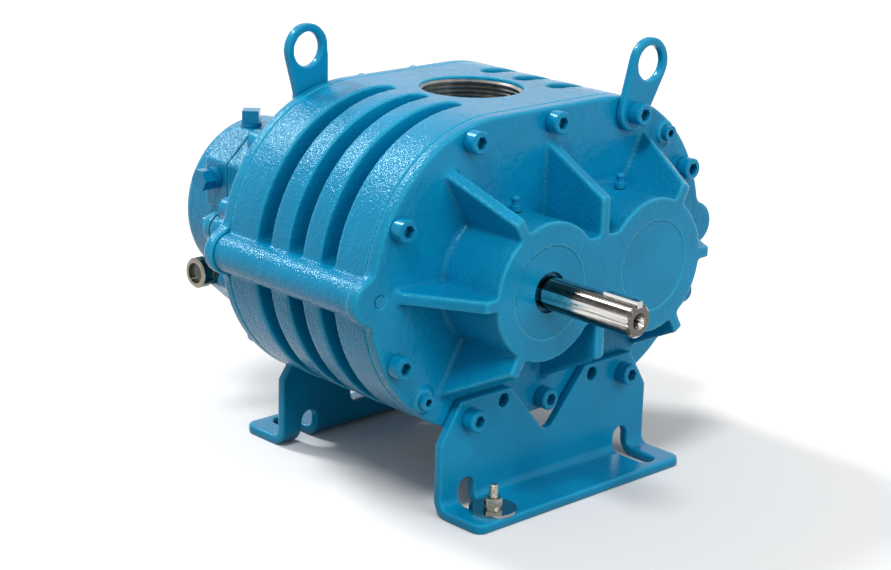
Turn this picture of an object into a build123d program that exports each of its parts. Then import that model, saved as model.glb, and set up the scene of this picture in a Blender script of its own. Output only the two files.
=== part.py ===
# Roots vacuum pump: two straight two-lobe rotors in a grooved casing between two ribbed head plates,
# timed by a pair of spur gears in an oil case, on two bent-plate feet. Millimetres, +Z up, Y along the
# shafts, drive end at -Y, feet on z = 0.
import os
from math import acos, atan2, cos, degrees, pi, radians, sin, tan

from build123d import *

# ---- driving dimensions ----
centre_distance = 101.6
shaft_height = 161.0
rotor_length = 139.7
end_clearance = 0.2
rim_thickness = 9.65
nose_height = 52.6
shaft_reach = 77.3
seam_height = 42.0
cover_height = 104.2

rotor_x = centre_distance / 2
housing_half = rotor_length / 2 + end_clearance
rim_reach = housing_half + rim_thickness
nose_reach = rim_reach + nose_height
shaft_end_reach = nose_reach + shaft_reach
seam_reach = rim_reach + seam_height
cover_reach = rim_reach + cover_height
plate_thickness = 1.0
rivet_height = 0.8
casing_y = (shaft_end_reach - cover_reach - plate_thickness - rivet_height) / 2

# casing
rim_radius = 108.0
bore_radius = 76.4
groove_floor = 86.0
groove_width = 14.5
groove_pitch = 33.0
rail_x = 157.5
rail_radius = 14.0
ear_radius = 16.0
ear_blend = 9.0
rim_edge_radius = 2.5
port_thread_radius = 36.5
port_bore_radius = 34.4
port_thread_depth = 26.0

# screws, M10 and M8 socket heads
bolt_circle = 98.0
screw_radius = 5.0
screw_head_radius = 7.8
screw_head_height = 9.6
screw_socket = 4.0
screw_grip = 34.0
hole_clearance = 0.4
jack_radius = 4.0
dowel_radius = 4.0
dowel_x = 152.0

# head plates
nose_radius = 47.5
nose_web_half_height = 30.0
rib_thickness = 8.5
seal_radius = 24.0
seal_width = 8.0
bearing_radius = 31.0
bearing_bore = 12.5
bearing_width = 17.0
ring_width = 1.6
ring_groove = 32.5
wall_hole_radius = 16.25
end_wall = 10.0
drive_bearing_depth = 30.0
gear_bearing_depth = 28.0

# gear case
case_half_width = 120.0
case_half_height = 67.0
case_chamfer_x = 23.0
case_chamfer_z = 21.0
case_wall = 9.0
case_screw_x = 40.4
case_screw_z = 72.5
case_side_screw_x = 125.0
case_boss_radius = 11.0
gasket_thickness = 0.4
cover_flange = 8.0
cover_radius = 62.0
cover_wall = 6.0
cover_edge_radius = 8.0
cover_block_depth = 25.0

# blank rating plate on the cover
plate_width = 101.0
plate_height = 40.5
plate_middle = (-6.4, -1.3)
rivet_radius = 1.5

# shafts, rotors and gears
shaft_radius = 11.1125
body_radius = 16.0
gear_seat_radius = 12.0
gear_thread_radius = 10.0
rotor_gap = 0.1
gear_teeth = 40
gear_module = centre_distance / gear_teeth
gear_width = 26.0
gear_depth = gear_bearing_depth + bearing_width + 5.0
gear_backlash = 0.16

# feet
foot_half_width = 101.4
foot_thickness = 7.0
foot_flange = 45.6
foot_top = {-1: 80.0, 1: 76.0}
foot_bend = 6.0
slot_x = 76.8
slot_radius = 7.0
slot_reach = 38.0
slot_rise = 24.0
stud_offset = 29.5
stud_x = 73.5

drive, gear = -1, 1
lobes = [(-rotor_x, 0), (rotor_x, 0)]


def end_plane(end, reach):
    # a plane across the shafts, seen from outside that end: local x is -end * X and local y is Z
    return Plane(origin=(0, casing_y + end * reach, shaft_height), x_dir=(-end, 0, 0), z_dir=(0, end, 0))


def around(angles, radius=bolt_circle):
    # points on an arc about both rotor axes, mirrored left and right
    return [
        (side * (rotor_x + radius * cos(radians(angle))), radius * sin(radians(angle)))
        for angle in angles
        for side in (-1, 1)
    ]


def drill(plane, points, radius, depth):
    with Locations(plane):
        with Locations(*points):
            Hole(radius=radius, depth=depth)


def put(points, plane, radius, height):
    # round pads standing on a plane
    with BuildSketch(plane) as pads:
        with Locations(*points):
            Circle(radius)
    extrude(pads.sketch, amount=height)


def tube(plane, points, outer, inner, length):
    with BuildSketch(plane) as ring:
        with Locations(*points):
            Circle(outer)
            Circle(inner, mode=Mode.SUBTRACT)
    extrude(ring.sketch, amount=length)


def finish(part, label):
    part.part.label = label
    export_step(part.part, f"parts/{label}.step")


os.makedirs("parts", exist_ok=True)

# ---- where the screws sit, as seen from outside each end ----
drive_screws = around([28.0, -28.0]) + [(0, bolt_circle), (0, -bolt_circle)]
drive_screws += [point for point in around([75.4]) if point[0] < 0]
drive_jacks = [point for point in around([50.0, -50.0]) if point[0] * point[1] > 0]
gear_screws = around([15.0, 45.0, -15.0, -45.0]) + [(-25, bolt_circle), (25, bolt_circle)]
gear_screws += [point for point in around([75.4]) if point[0] < 0]
lug_screws = [point for point in around([75.4]) if point[0] > 0]
foot_screws = {drive: around([-75.4]), gear: around([-75.4]) + [(-25, -bolt_circle), (25, -bolt_circle)]}
plate_screws = {drive: drive_screws, gear: gear_screws}
case_screws = [(x, z) for x in (-case_screw_x, case_screw_x) for z in (-case_screw_z, case_screw_z)]
case_screws += [(-case_side_screw_x, 0), (case_side_screw_x, 0)]
dowels = [(-dowel_x, 0), (dowel_x, 0)]


def all_rim_holes(end):
    return plate_screws[end] + lug_screws + foot_screws[end]


def rim_outline(end, reach, ear, blend=1.5):
    # the figure-of-eight outline shared by casing and head plates, with a round ear at each side
    with BuildSketch(end_plane(end, reach)) as outline:
        SlotCenterToCenter(centre_distance, 2 * rim_radius)
        with Locations((-rail_x, 0), (rail_x, 0)):
            Circle(ear)
        fillet([corner for corner in outline.vertices() if 4 < abs(corner.Y) < 2 * ear], blend)
    return outline.sketch


def head_plate_rim(end, plate):
    # the bolted rim of a head plate, rounded round its outer face
    extrude(rim_outline(end, housing_half, ear_radius, ear_blend), amount=rim_thickness)
    outer_face = plate.faces().sort_by(Axis.Y)[0 if end == drive else -1]
    fillet(outer_face.outer_wire().edges(), rim_edge_radius)


# ---- casing: four bands a side between three grooves, a rail along each side ----
groove_planes = [end_plane(drive, groove_pitch * step - groove_width / 2) for step in (-1, 0, 1)]
with BuildPart() as cylinder_housing:
    extrude(rim_outline(drive, -housing_half, rail_radius), amount=2 * housing_half)
    with BuildSketch(*groove_planes) as grooves:
        with Locations(*lobes):
            Circle(rim_radius + 5)
        with Locations(*lobes):
            Circle(groove_floor, mode=Mode.SUBTRACT)
        Rectangle(2 * rotor_x, 4 * rim_radius, mode=Mode.SUBTRACT)
        Rectangle(4 * rim_radius, 2 * rail_radius, mode=Mode.SUBTRACT)
    extrude(amount=groove_width, mode=Mode.SUBTRACT)
    for side in (-1, 1):
        with BuildSketch(Plane.XY.offset(shaft_height + side * groove_floor)) as groove_ends:
            with Locations((0, casing_y)):
                with GridLocations(2 * rotor_x, groove_pitch, 2, 3):
                    Circle(groove_width / 2)
        extrude(amount=side * 30, mode=Mode.SUBTRACT)
    with BuildSketch(end_plane(drive, -housing_half)) as rotor_bore:
        with Locations(*lobes):
            Circle(bore_radius)
    extrude(amount=2 * housing_half, mode=Mode.SUBTRACT)
    with Locations((0, casing_y, shaft_height)):
        Cylinder(port_bore_radius, 2 * rim_radius + 2, mode=Mode.SUBTRACT)
    for side in (-1, 1):
        with Locations((0, casing_y, shaft_height + side * (rim_radius - port_thread_depth / 2 + 1))):
            Cylinder(port_thread_radius, port_thread_depth + 2, mode=Mode.SUBTRACT)
    for end in (drive, gear):
        face = end_plane(end, housing_half)
        drill(face, all_rim_holes(end), screw_radius, screw_grip - rim_thickness + 1)
        drill(face, dowels, dowel_radius, 12)
finish(cylinder_housing, "cylinder_housing")


def gusset(end, root, angle, start, tip, base, top, inner):
    # a triangular rib: along the plate from root + inner to root + start, up to root + tip at the top
    lean = Plane(
        origin=(-end * root[0], casing_y + end * base, shaft_height + root[1]),
        x_dir=(-end * cos(radians(angle)), 0, sin(radians(angle))),
        z_dir=(-end * sin(radians(angle)), 0, -cos(radians(angle))),
    )
    height = top - base
    with BuildSketch(lean) as web:
        with BuildLine():
            Polyline((inner, 0), (start, 0), (tip, height), (inner, height), close=True)
        make_face()
    extrude(web.sketch, amount=rib_thickness / 2, both=True)


def pockets(end, depths):
    # stepped shaft holes bored through a head plate, as (from, to, radius) off its inner face
    for begin, finish_depth, radius in depths:
        with BuildSketch(end_plane(end, housing_half + begin)) as step:
            with Locations(*lobes):
                Circle(radius)
        extrude(step.sketch, amount=finish_depth - begin, mode=Mode.SUBTRACT)


# ---- drive end plate: a twin-bored nose held by eight gussets ----
drive_bearing_end = drive_bearing_depth + bearing_width
nose_depth = nose_reach - housing_half
grease_y = casing_y - housing_half - drive_bearing_depth + 3
grease_radius = 2.6
with BuildPart() as drive_end_plate:
    head_plate_rim(drive, drive_end_plate)
    with BuildSketch(end_plane(drive, rim_reach - 1)) as nose:
        with Locations(*lobes):
            Circle(nose_radius)
        Rectangle(rotor_x, 2 * nose_web_half_height)
    extrude(nose.sketch, amount=nose_height + 1)
    for side in (-1, 1):
        for angle in (60, -60):
            turned = angle if side > 0 else 180 - angle
            gusset(drive, (side * rotor_x, 0), turned, 90, 60, rim_reach - 1, nose_reach, 40)
        gusset(drive, (side * rotor_x, 0), 0 if side > 0 else 180, 89, 57, rim_reach - 1, nose_reach, 40)
        gusset(drive, (0, 0), 90 * side, 84.5, 56, rim_reach - 1, nose_reach, 20)
    put(drive_jacks, end_plane(drive, rim_reach - 1), 8.5, 4)
    pockets(drive, [
        (0, end_wall, wall_hole_radius),
        (end_wall, end_wall + seal_width, seal_radius),
        (end_wall + seal_width, drive_bearing_depth, 27),
        (drive_bearing_depth, nose_depth, bearing_radius),
        (drive_bearing_end, drive_bearing_end + ring_width, ring_groove),
    ])
    drill(end_plane(drive, rim_reach), all_rim_holes(drive), screw_radius + hole_clearance, rim_thickness)
    drill(end_plane(drive, rim_reach + 3), drive_jacks, jack_radius, rim_thickness + 3)
    drill(end_plane(drive, rim_reach), dowels, dowel_radius, rim_thickness)
    for x in (-rotor_x, rotor_x):
        with Locations((x, grease_y, shaft_height + nose_radius)):
            Hole(radius=grease_radius, depth=nose_radius - 26)
finish(drive_end_plate, "drive_end_plate")


# ---- gear end plate: the same rim, carrying the open half of the gear case ----
case_corner_x = case_half_width - case_chamfer_x
case_corner_z = case_half_height - case_chamfer_z


def case_outline(plane, inset=0, bosses=True):
    with BuildSketch(plane) as outline:
        with BuildLine():
            quarter = [(case_corner_x, case_half_height), (case_half_width, case_corner_z)]
            Polyline(
                *quarter,
                *[(x, -z) for x, z in reversed(quarter)],
                *[(-x, -z) for x, z in quarter],
                *[(-x, z) for x, z in reversed(quarter)],
                close=True,
            )
        make_face()
        if inset:
            offset(amount=-inset)
        if bosses:
            with Locations(*case_screws):
                Circle(case_boss_radius)
            Rectangle(2 * case_side_screw_x, 2 * case_boss_radius)
            for x in (-case_screw_x, case_screw_x):
                with Locations((x, 0)):
                    Rectangle(2 * case_boss_radius, 2 * case_screw_z)
    return outline.sketch


gear_bearing_end = gear_bearing_depth + bearing_width
seam_depth = seam_reach - housing_half
with BuildPart() as gear_end_plate:
    head_plate_rim(gear, gear_end_plate)
    extrude(case_outline(end_plane(gear, rim_reach - 1)), amount=seam_height + 1)
    gusset(gear, (0, 0), 90, 101, 70, rim_reach - 1, seam_reach, 50)
    for side in (-1, 1):
        gusset(gear, (0, 0), 90 - 90 * side, 148, 133, rim_reach - 1, seam_reach - 2, 110)
    cavity = end_plane(gear, housing_half + gear_bearing_depth + 2)
    extrude(case_outline(cavity, case_wall, False), amount=40, mode=Mode.SUBTRACT)
    put(lobes, end_plane(gear, housing_half + gear_bearing_depth), 38, bearing_width + 4)
    pockets(gear, [
        (0, end_wall, wall_hole_radius),
        (end_wall, end_wall + seal_width, seal_radius),
        (end_wall + seal_width, gear_bearing_depth, 27),
        (gear_bearing_depth, gear_bearing_end + 4, bearing_radius),
        (gear_bearing_end, gear_bearing_end + ring_width, ring_groove),
    ])
    drill(end_plane(gear, rim_reach), all_rim_holes(gear), screw_radius + hole_clearance, rim_thickness)
    drill(end_plane(gear, rim_reach), dowels, dowel_radius, rim_thickness)
    drill(end_plane(gear, seam_reach), case_screws, jack_radius, 18)
finish(gear_end_plate, "gear_end_plate")

with BuildPart() as case_gasket:
    extrude(case_outline(end_plane(gear, seam_reach)), amount=gasket_thickness)
    with BuildSketch(end_plane(gear, seam_reach)) as gasket_window:
        with Locations(*lobes):
            Circle(cover_radius - cover_wall)
    extrude(amount=gasket_thickness, mode=Mode.SUBTRACT)
    drill(end_plane(gear, seam_reach + gasket_thickness), case_screws, jack_radius + hole_clearance, 1)
finish(case_gasket, "case_gasket")

# ---- gear cover: two revolved domes on a thin flange, with corner blocks for the oil fittings ----
cover_back = seam_reach + gasket_thickness
block_front = seam_reach + cover_block_depth
fitting_y = casing_y + seam_reach + 13
fitting_radius = 6.0
sight_shank = 7.0
vent_place = (88, fitting_y, shaft_height + case_half_height)
top_plug_place = (-88, fitting_y, shaft_height + case_half_height)
side_plug_place = (-case_half_width, fitting_y, shaft_height + 34)
sight_place = (-case_half_width, fitting_y, shaft_height - 34)
drain_place = (-84, fitting_y, shaft_height - case_half_height)


def dome(x, radius, front, edge, mode=Mode.ADD):
    # one rounded pot revolved about a rotor axis; it makes the cover's outside and its hollow
    depth = front - cover_back
    section = Plane(origin=(x, casing_y + cover_back, shaft_height), x_dir=(1, 0, 0), z_dir=(0, 0, 1))
    with BuildSketch(section) as half:
        with BuildLine():
            Polyline((0, depth), (0, 0), (radius, 0), (radius, depth - edge))
            TangentArc((radius, depth - edge), (radius - edge, depth), tangent=(0, 1))
            Line((radius - edge, depth), (0, depth))
        make_face()
    revolve(half.sketch, axis=Axis((x, 0, shaft_height), (0, 1, 0)), mode=mode)


with BuildPart() as gear_cover:
    extrude(case_outline(end_plane(gear, cover_back)), amount=cover_flange)
    with BuildSketch(end_plane(gear, cover_back)) as blocks:
        for side in (-1, 1):
            with BuildLine():
                Polyline(
                    (side * 66, 30), (side * 66, case_half_height),
                    (side * case_corner_x, case_half_height), (side * case_half_width, case_corner_z),
                    (side * case_half_width, 12), (side * 90, 12),
                    close=True,
                )
            make_face()
            with BuildLine():
                Polyline(
                    (side * 90, -10), (side * case_half_width, -10),
                    (side * case_half_width, -case_corner_z), (side * case_corner_x, -case_half_height),
                    (side * 68, -case_half_height), (side * 68, -30),
                    close=True,
                )
            make_face()
    extrude(amount=block_front - cover_back)
    for x in (-rotor_x, rotor_x):
        dome(x, cover_radius, cover_reach, cover_edge_radius)
    for x in (-rotor_x, rotor_x):
        dome(x, cover_radius - cover_wall, cover_reach - cover_wall - 1, 5, Mode.SUBTRACT)
    drill(end_plane(gear, cover_back + cover_flange), case_screws, jack_radius + hole_clearance, cover_flange)
    with Locations(vent_place, top_plug_place):
        Hole(radius=fitting_radius, depth=case_half_height - 34)
    with Locations(Plane(origin=side_plug_place, z_dir=(-1, 0, 0))):
        Hole(radius=fitting_radius, depth=30)
    with Locations(Plane(origin=sight_place, z_dir=(-1, 0, 0))):
        Hole(radius=sight_shank, depth=30)
    with Locations(Plane(origin=drain_place, z_dir=(0, 0, -1))):
        Hole(radius=fitting_radius, depth=26)
    with BuildSketch(end_plane(gear, cover_reach)) as rivet_holes:
        with Locations(plate_middle):
            with GridLocations(plate_width - 6, plate_height - 6, 2, 2):
                Circle(rivet_radius)
    extrude(rivet_holes.sketch, amount=-4, mode=Mode.SUBTRACT)
finish(gear_cover, "gear_cover")


# ---- shafts: turned steps along Y, given as (from, to, radius) off the casing's middle ----
def turned_shaft(x, steps, chamfer_size=1.0):
    section = Plane(origin=(x, casing_y, shaft_height), x_dir=(1, 0, 0), z_dir=(0, 0, 1))
    first, first_radius = steps[0][0], steps[0][2]
    corners = [(0, first), (first_radius - chamfer_size, first), (first_radius, first + chamfer_size)]
    for place, (begin, _, radius) in enumerate(steps[1:]):
        corners += [(steps[place][2], begin), (radius, begin)]
    corners += [(steps[-1][2], steps[-1][1] - chamfer_size), (steps[-1][2] - chamfer_size, steps[-1][1])]
    corners += [(0, steps[-1][1])]
    with BuildSketch(section) as half:
        with BuildLine():
            Polyline(*corners, close=True)
        make_face()
    revolve(half.sketch, axis=Axis((x, 0, shaft_height), (0, 1, 0)))


def key_seat(x, key):
    # the floor of a slot milled along the top of a shaft, which its key also stands on
    with BuildSketch(Plane.XY.offset(shaft_height + key["shaft"] - key["sunk"])) as seat:
        with Locations((x, casing_y + key["begin"] + key["length"] / 2)):
            Rectangle(key["width"], key["length"])
    return seat.sketch


gear_start = housing_half + gear_depth
gear_end_y = gear_start + gear_width
nut_start = gear_end_y + 1.5
nut_height = 12.0
body_steps = [
    (-housing_half - drive_bearing_depth, housing_half + gear_bearing_depth, body_radius),
    (housing_half + gear_bearing_depth, gear_start, bearing_bore),
    (gear_start, gear_end_y, gear_seat_radius),
    (gear_end_y, nut_start + nut_height + 4, gear_thread_radius),
]
journal_start = -housing_half - drive_bearing_end - 2
above_shaft = 10.0
drive_end_key = dict(
    begin=-shaft_end_reach, length=29.0, width=4.76, sunk=2.4, height=4.46, shaft=shaft_radius
)
gear_key = dict(
    begin=gear_start + 2, length=gear_width - 4, width=6.0, sunk=3.0, height=5.5, shaft=gear_seat_radius
)

with BuildPart() as drive_shaft:
    turned_shaft(-rotor_x, [
        (-shaft_end_reach, journal_start, shaft_radius),
        (journal_start, body_steps[0][0], bearing_bore),
        *body_steps,
    ], 1.5)
    with Locations(Plane(origin=(-rotor_x, casing_y - shaft_end_reach, shaft_height), z_dir=(0, -1, 0))):
        CounterSinkHole(radius=2.5, counter_sink_radius=5.5, depth=12, counter_sink_angle=60)
    for key in (drive_end_key, gear_key):
        extrude(key_seat(-rotor_x, key), amount=above_shaft, mode=Mode.SUBTRACT)
finish(drive_shaft, "drive_shaft")

with BuildPart() as driven_shaft:
    turned_shaft(rotor_x, [(journal_start, body_steps[0][0], bearing_bore), *body_steps])
    extrude(key_seat(rotor_x, gear_key), amount=above_shaft, mode=Mode.SUBTRACT)
finish(driven_shaft, "driven_shaft")

for label, x, key in (
    ("drive_key", -rotor_x, drive_end_key),
    ("drive_gear_key", -rotor_x, gear_key),
    ("driven_gear_key", rotor_x, gear_key),
):
    with BuildPart() as key_block:
        extrude(key_seat(x, key), amount=key["height"])
    finish(key_block, label)


# ---- rotors: epicycloid lobes and hypocycloid waists on a pitch circle of half the centre distance ----
def turn(angle, radius=1.0):
    return Vector(radius * cos(radians(angle)), radius * sin(radians(angle)))


def rotor_points(count=9):
    rolling = rotor_x / 4
    points = []
    for quarter in range(4):
        start = 90 * quarter - 45
        for step in range(count):
            rolled = 90 * (step + 0.5) / count
            contact = turn(start + rolled, rotor_x)
            if quarter % 2 == 0:
                point = turn(start + rolled, rotor_x + rolling) - turn(start + 5 * rolled, rolling)
                outward = (point - contact).normalized()
            else:
                point = turn(start + rolled, rotor_x - rolling) + turn(start - 3 * rolled, rolling)
                outward = (contact - point).normalized()
            points.append(point - outward * rotor_gap)
    return points


for label, x, lean in (("drive_rotor", -rotor_x, 90), ("driven_rotor", rotor_x, 0)):
    front = Plane(
        origin=(x, casing_y - rotor_length / 2, shaft_height),
        x_dir=(cos(radians(lean)), 0, sin(radians(lean))),
        z_dir=(0, -1, 0),
    )
    with BuildPart() as rotor:
        with BuildSketch(front) as lobed:
            with BuildLine():
                Spline(*rotor_points(), periodic=True)
            make_face()
            Circle(body_radius, mode=Mode.SUBTRACT)
        extrude(amount=-rotor_length)
    finish(rotor, label)


# ---- timing gears: 20 degree involute spur gears, one to one ----
pitch_radius = gear_module * gear_teeth / 2
base_radius = pitch_radius * cos(radians(20))
tip_radius = pitch_radius + gear_module - 0.1
root_radius = pitch_radius - 1.25 * gear_module


def half_tooth_angle(radius):
    # degrees from a tooth's middle to its involute flank at this radius
    pressure = acos(min(1, base_radius / radius))
    flat = tan(radians(20)) - radians(20)
    half_pitch = (pi * gear_module / 2 - gear_backlash) / 2 / pitch_radius
    return degrees(half_pitch + flat - (tan(pressure) - pressure))


def gear_outline(first_tooth):
    flank = [root_radius, pitch_radius - 0.4, tip_radius]
    points = []
    for tooth in range(gear_teeth):
        middle = first_tooth + tooth * 360 / gear_teeth
        points += [turn(middle - half_tooth_angle(radius), radius) for radius in flank]
        points += [turn(middle + half_tooth_angle(radius), radius) for radius in reversed(flank)]
    return points


for label, x, first_tooth in (("drive_gear", -rotor_x, 0), ("driven_gear", rotor_x, 180 / gear_teeth)):
    with BuildPart() as spur:
        front = Plane(origin=(x, casing_y + gear_start, shaft_height), x_dir=(1, 0, 0), z_dir=(0, -1, 0))
        with BuildSketch(front) as teeth:
            with BuildLine():
                Polyline(*gear_outline(first_tooth), close=True)
            make_face()
            Circle(gear_seat_radius, mode=Mode.SUBTRACT)
            with Locations((0, gear_seat_radius)):
                Rectangle(6, 5.2, mode=Mode.SUBTRACT)
        extrude(amount=-gear_width)
    finish(spur, label)

# ---- what sits on each shaft beside the gear ----
for label, x in (("drive_gear", -rotor_x), ("driven_gear", rotor_x)):
    spot = [(-gear * x, 0)]
    with BuildPart() as spacer:
        tube(end_plane(gear, gear_start - 5), spot, 17, bearing_bore, 5)
    finish(spacer, f"{label}_spacer")
    with BuildPart() as washer:
        tube(end_plane(gear, gear_end_y), spot, 18, gear_thread_radius, 1.5)
    finish(washer, f"{label}_washer")
    with BuildPart() as locknut:
        with BuildSketch(end_plane(gear, nut_start)) as hexagon:
            with Locations(*spot):
                RegularPolygon(15, 6, major_radius=False)
                Circle(gear_thread_radius, mode=Mode.SUBTRACT)
        extrude(amount=nut_height)
    finish(locknut, f"{label}_nut")

# ---- bearings: 25 x 62 x 17 cylindrical roller, two at each end ----
bearing_starts = [(drive, housing_half + drive_bearing_depth), (gear, housing_half + gear_bearing_depth)]
roller_radius = 4.0
roller_circle = 21.75
rollers_each = 9

with BuildPart() as bearing_outer_rings:
    for end, start in bearing_starts:
        tube(end_plane(end, start), lobes, bearing_radius, roller_circle + roller_radius, bearing_width)
finish(bearing_outer_rings, "bearing_outer_rings")

with BuildPart() as bearing_rollers:
    for end, start in bearing_starts:
        with BuildSketch(end_plane(end, start + 3)) as ring_of_rollers:
            with Locations(*lobes):
                with PolarLocations(roller_circle, rollers_each):
                    Circle(roller_radius)
        extrude(ring_of_rollers.sketch, amount=bearing_width - 6)
finish(bearing_rollers, "bearing_rollers")

for label, x in (("drive_shaft_inner_rings", -rotor_x), ("driven_shaft_inner_rings", rotor_x)):
    with BuildPart() as inner_rings:
        for end, start in bearing_starts:
            tube(end_plane(end, start), [(-end * x, 0)], 17.7, bearing_bore, bearing_width)
    finish(inner_rings, label)

with BuildPart() as bearing_circlips:
    for end, start in bearing_starts:
        with BuildSketch(end_plane(end, start + bearing_width)) as circlips:
            with Locations(*lobes):
                Circle(ring_groove)
                Circle(27.5, mode=Mode.SUBTRACT)
            for x in (-rotor_x, rotor_x):
                with Locations((x, -30)):
                    Rectangle(10, 12, mode=Mode.SUBTRACT)
        extrude(circlips.sketch, amount=ring_width)
finish(bearing_circlips, "bearing_circlips")

# ---- seals and bore closures ----
with BuildPart() as chamber_seals:
    for end in (drive, gear):
        tube(end_plane(end, housing_half + end_wall), lobes, seal_radius, body_radius + 0.1, seal_width)
finish(chamber_seals, "chamber_seals")

closure_reach = nose_reach - 0.5
with BuildPart() as drive_seal_carrier:
    tube(end_plane(drive, closure_reach - 10), [(-rotor_x, 0)], bearing_radius, 14, 10)
    tube(end_plane(drive, closure_reach - 10), [(-rotor_x, 0)], 15, 12, 2)
finish(drive_seal_carrier, "drive_seal_carrier")

with BuildPart() as drive_shaft_seal:
    tube(end_plane(drive, closure_reach - 8), [(-rotor_x, 0)], 14, shaft_radius + 0.08, 5)
finish(drive_shaft_seal, "drive_shaft_seal")

with BuildPart() as driven_bore_plug:
    put([(rotor_x, 0)], end_plane(drive, closure_reach - 6), bearing_radius, 6)
finish(driven_bore_plug, "driven_bore_plug")


# ---- fasteners ----
def socket_screw(plane, points, head_radius, head_height, radius, grip, socket):
    with BuildSketch(plane) as heads:
        with Locations(*points):
            Circle(head_radius)
    rim = head_height - head_chamfer
    extrude(heads.sketch, amount=rim)
    extrude(heads.sketch.moved(Location(plane.z_dir * rim)), amount=head_chamfer, taper=45)
    with BuildSketch(plane) as shanks:
        with Locations(*points):
            Circle(radius)
    extrude(shanks.sketch, amount=-grip)
    with BuildSketch(plane.offset(head_height)) as sockets:
        with Locations(*points):
            RegularPolygon(socket, 6, major_radius=False)
    extrude(sockets.sketch, amount=-head_height * 0.55, mode=Mode.SUBTRACT)


lug_thickness = 6.0
head_chamfer = 0.9
m10 = (screw_head_radius, screw_head_height, screw_radius)
m8 = (6.5, 8.0, jack_radius)
for label, end in (("drive_plate_screws", drive), ("gear_plate_screws", gear)):
    with BuildPart() as screws:
        socket_screw(end_plane(end, rim_reach), plate_screws[end], *m10, screw_grip, screw_socket)
    finish(screws, label)

with BuildPart() as lug_screw_pair:
    for end in (drive, gear):
        plane = end_plane(end, rim_reach + lug_thickness)
        socket_screw(plane, lug_screws, *m10, screw_grip + lug_thickness, screw_socket)
finish(lug_screw_pair, "lug_screws")

with BuildPart() as foot_screw_set:
    for end in (drive, gear):
        plane = end_plane(end, rim_reach + foot_thickness)
        socket_screw(plane, foot_screws[end], *m10, screw_grip + foot_thickness, screw_socket)
finish(foot_screw_set, "foot_screws")

with BuildPart() as cover_screws:
    plane = end_plane(gear, cover_back + cover_flange)
    socket_screw(plane, case_screws, *m8, cover_flange + gasket_thickness + 16, 3.0)
finish(cover_screws, "cover_screws")

with BuildPart() as jack_screws:
    with BuildSketch(end_plane(drive, rim_reach + 7)) as set_screws:
        with Locations(*drive_jacks):
            Circle(5.5)
            RegularPolygon(2.5, 6, major_radius=False, mode=Mode.SUBTRACT)
    extrude(set_screws.sketch, amount=-4)
    with BuildSketch(end_plane(drive, rim_reach + 3)) as jack_shanks:
        with Locations(*drive_jacks):
            Circle(jack_radius)
    extrude(jack_shanks.sketch, amount=-rim_thickness - 3)
finish(jack_screws, "jack_screws")

with BuildPart() as dowel_pins:
    for end in (drive, gear):
        put(dowels, end_plane(end, rim_reach - 21), dowel_radius, 20.5)
finish(dowel_pins, "dowel_pins")


# ---- lifting lugs: a tapered strap with a big eye, leaning out from its screw ----
lug_eye_radius = 12.2
lug_head_radius = 18.0
lug_foot_radius = 13.5
lug_length = 36.0
lug_lean = {-1: 23.0, 1: 9.0}
lug_screw = lug_screws[0]


def lug_eye(end):
    return Vector(*lug_screw) + turn(90 - lug_lean[end], lug_length)


def strap_side(end, side):
    # the straight edge between the strap's two round ends
    length = lug_eye(end) - Vector(*lug_screw)
    turn_angle = degrees(acos((lug_foot_radius - lug_head_radius) / length.length))
    heading = degrees(atan2(length.Y, length.X)) + side * turn_angle
    return Vector(*lug_screw) + turn(heading, lug_foot_radius), lug_eye(end) + turn(heading, lug_head_radius)


for label, end in (("drive_end_lug", drive), ("gear_end_lug", gear)):
    with BuildPart() as lug:
        with BuildSketch(end_plane(end, rim_reach)) as strap:
            left, right = strap_side(end, 1), strap_side(end, -1)
            with BuildLine():
                Polyline(left[0], left[1], right[1], right[0], close=True)
            make_face()
            with Locations(lug_eye(end)):
                Circle(lug_head_radius)
            with Locations(lug_screw):
                Circle(lug_foot_radius)
            with Locations(lug_eye(end)):
                Circle(lug_eye_radius, mode=Mode.SUBTRACT)
            with Locations(lug_screw):
                Circle(screw_radius + hole_clearance, mode=Mode.SUBTRACT)
        extrude(amount=lug_thickness)
    finish(lug, label)


# ---- feet: a plate bent into an L, with slots that run round the bend ----
def foot_blank(end):
    # the bent section, drawn from the side and drawn out along X
    side_view = Plane(
        origin=(-foot_half_width, casing_y + end * rim_reach, 0), x_dir=(0, end, 0), z_dir=(end, 0, 0)
    )
    outer = foot_bend + foot_thickness
    with BuildSketch(side_view) as bend:
        with BuildLine():
            Line((0, foot_top[end]), (0, outer))
            TangentArc((0, outer), (outer, 0), tangent=(0, -1))
            Polyline((outer, 0), (foot_flange, 0), (foot_flange, foot_thickness), (outer, foot_thickness))
            TangentArc((outer, foot_thickness), (foot_thickness, outer), tangent=(-1, 0))
            Polyline((foot_thickness, outer), (foot_thickness, foot_top[end]), (0, foot_top[end]))
        make_face()
    extrude(bend.sketch, amount=end * 2 * foot_half_width)


def foot_notches(end):
    # chamfered shoulders, and a V in the drive foot or a window in the gear foot
    front = Plane(origin=(0, casing_y + end * (rim_reach + foot_flange), 0), x_dir=(-end, 0, 0), z_dir=(0, end, 0))
    with BuildSketch(front) as notches:
        top = foot_top[end]
        for side in (-1, 1):
            with BuildLine():
                edge = side * foot_half_width
                Polyline((edge, 52), (side * 84, top), (side * 84, top + 5), (edge + side * 5, top + 5), close=True)
            make_face()
        if end == drive:
            with BuildLine():
                tip = 4
                Polyline((-38, top + 1), (-tip, 42), (tip, 42), (38, top + 1), close=True)
            make_face()
            fillet(notches.vertices().group_by(Axis.Y)[0], 4)
        else:
            with Locations((0, 36)):
                RectangleRounded(74, 28, 6)
    extrude(notches.sketch, amount=-foot_flange - 1, mode=Mode.SUBTRACT)


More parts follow.
